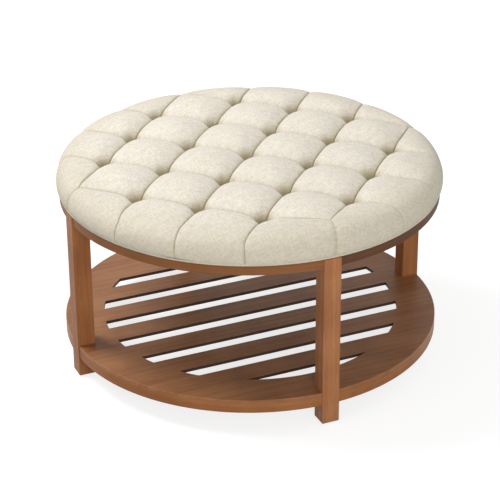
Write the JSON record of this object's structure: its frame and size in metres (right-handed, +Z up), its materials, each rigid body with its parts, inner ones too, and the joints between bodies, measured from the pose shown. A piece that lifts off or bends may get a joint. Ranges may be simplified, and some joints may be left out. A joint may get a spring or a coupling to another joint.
{
  "type": "ottoman coffee table",
  "caption": "Round coffee table ottoman: a diamond-tufted fabric cushion on a wooden ring with square legs, and a slotted round shelf below.",
  "frame": {"origin": "floor level under the middle of the table", "axes": "+Z up; the legs stand on the X and Y axes; the shelf's slots run along X; -Y is the leg nearest the picture's camera"},
  "size_m": [0.8132, 0.8132, 0.4418],
  "materials": {
    "stained_wood": "satin",
    "block_timber": "matte",
    "dowel_beech": "matte",
    "plywood": "matte",
    "linen": "matte",
    "foam": "matte",
    "fibre": "matte",
    "black_cloth": "matte",
    "twine": "matte",
    "plated_steel": "satin",
    "glide_nylon": "matte"
  },
  "bodies": {
    "root": {"apron_block_screws": "plated_steel", "apron_corner_block_back": "block_timber", "apron_corner_block_front": "block_timber", "apron_corner_block_left": "block_timber", "apron_corner_block_right": "block_timber", "apron_rail_back_left": "stained_wood", "apron_rail_back_right": "stained_wood", "apron_rail_front_left": "stained_wood", "apron_rail_front_right": "stained_wood", "bolt_nuts": "plated_steel", "bolt_washers": "plated_steel", "deck_screws": "plated_steel", "dust_cover": "black_cloth", "foam_pad": "foam", "foot_glides": "glide_nylon", "hanger_bolts": "plated_steel", "hem_staples": "plated_steel", "leg_back": "stained_wood", "leg_front": "stained_wood", "leg_left": "stained_wood", "leg_right": "stained_wood", "rail_dowels": "dowel_beech", "seat_deck": "plywood", "shelf_block_screws": "plated_steel", "shelf_board": "stained_wood", "shelf_corner_block_back": "block_timber", "shelf_corner_block_front": "block_timber", "shelf_corner_block_left": "block_timber", "shelf_corner_block_right": "block_timber", "shelf_rail_back_left": "stained_wood", "shelf_rail_back_right": "stained_wood", "shelf_rail_front_left": "stained_wood", "shelf_rail_front_right": "stained_wood", "tuft_buttons": "linen", "tuft_twines": "twine", "tuft_washers": "plated_steel", "tufted_cover": "linen", "wadding": "fibre"}
  },
  "joints": []
}
